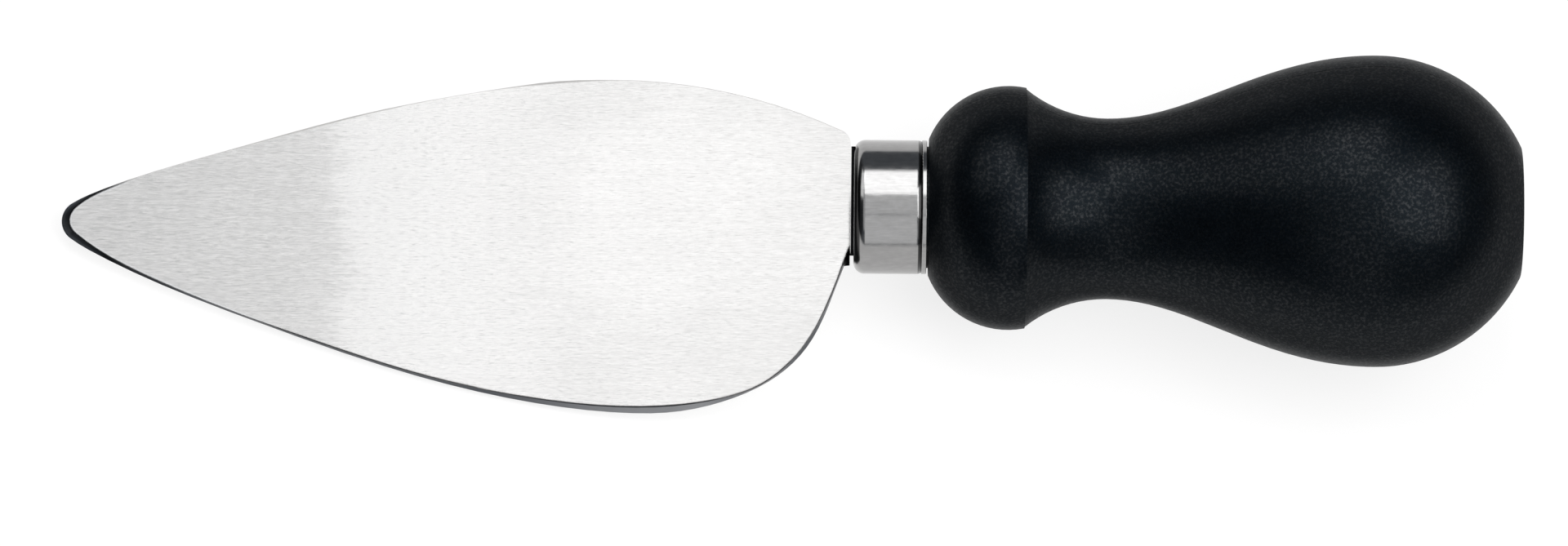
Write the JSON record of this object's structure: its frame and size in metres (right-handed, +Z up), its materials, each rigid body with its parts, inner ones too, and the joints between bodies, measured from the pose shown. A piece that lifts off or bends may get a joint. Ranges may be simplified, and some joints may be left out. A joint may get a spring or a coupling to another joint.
{
  "type": "parmesan knife",
  "caption": "Short leaf-shaped hard cheese knife with a ground steel blade, a steel ferrule and a moulded pear-shaped handle.",
  "frame": {"origin": "middle of the knife's base on the surface that it lies on", "axes": "+Z up, +X from the tip towards the butt in plan, +Y towards the spine"},
  "size_m": [0.2226, 0.0536, 0.0477],
  "materials": {
    "blade_steel": "finely brushed along the blade",
    "ferrule_steel": "polished",
    "handle_plastic": "fine matt grain"
  },
  "bodies": {
    "root": {"blade": "blade_steel", "ferrule": "ferrule_steel", "handle": "handle_plastic"}
  },
  "joints": []
}
